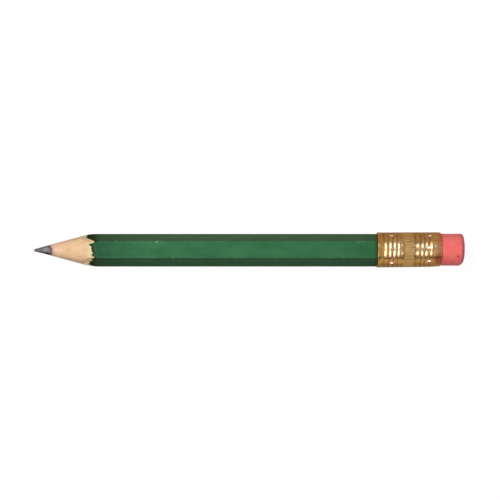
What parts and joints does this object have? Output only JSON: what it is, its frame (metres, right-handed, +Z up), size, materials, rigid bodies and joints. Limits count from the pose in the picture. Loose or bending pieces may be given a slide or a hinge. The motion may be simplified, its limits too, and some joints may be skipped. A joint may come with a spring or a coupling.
{
  "type": "graphite pencil",
  "caption": "Short hexagonal wood-cased graphite pencil, sharpened, green lacquered, with a ribbed and punched metal ferrule and a rubber eraser.",
  "frame": {"origin": "middle of the overall length, on the pencil's centre line in X and Y, at the lowest line of the ferrule in Z", "axes": "+X along the pencil from its point to its eraser, +Z up and square to a flat of the barrel"},
  "size_m": [0.1016, 0.0082, 0.0081],
  "materials": {
    "graphite": "fired graphite and clay, semi-matte grey with a metallic sheen",
    "cedar": "bare, straight-grained, cut by a sharpener",
    "white_glue": "dried white glue",
    "primer": "pale filler and undercoat",
    "green_lacquer": "glossy dark green lacquer, slightly worn",
    "gold_sheet": "polished gold sheet, pressed and punched",
    "red_rubber": "matte pink-red eraser rubber"
  },
  "bodies": {
    "root": {"graphite_core": "graphite", "casing_slat_upper": "cedar", "casing_slat_lower": "cedar", "glue_seam_front": "white_glue", "glue_seam_back": "white_glue", "primer_coat": "primer", "lacquer_coat": "green_lacquer", "ferrule": "gold_sheet", "eraser": "red_rubber"}
  },
  "joints": []
}
